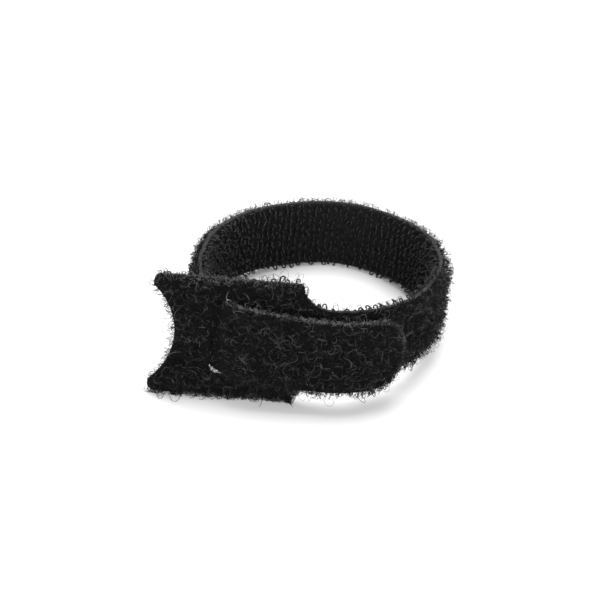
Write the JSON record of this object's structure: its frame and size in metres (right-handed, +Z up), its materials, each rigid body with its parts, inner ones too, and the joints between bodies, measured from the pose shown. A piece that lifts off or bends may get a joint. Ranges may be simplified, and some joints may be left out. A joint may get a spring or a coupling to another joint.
{
  "type": "hook and loop cable tie",
  "caption": "Black hook and loop cable tie: a woven strap with a wide slotted head, threaded through itself and closed into a ring.",
  "frame": {"origin": "centre of the bounding box in X and Y, on the plane the tie stands on", "axes": "+X along the head towards the neck, +Y from the head back across the ring, +Z up, along the width of the tape"},
  "size_m": [0.048, 0.0502, 0.02],
  "materials": {
    "black_nylon": "matte hook rows inside, fuzzy loop pile outside"
  },
  "bodies": {
    "root": {"strap": "black_nylon"}
  },
  "joints": []
}
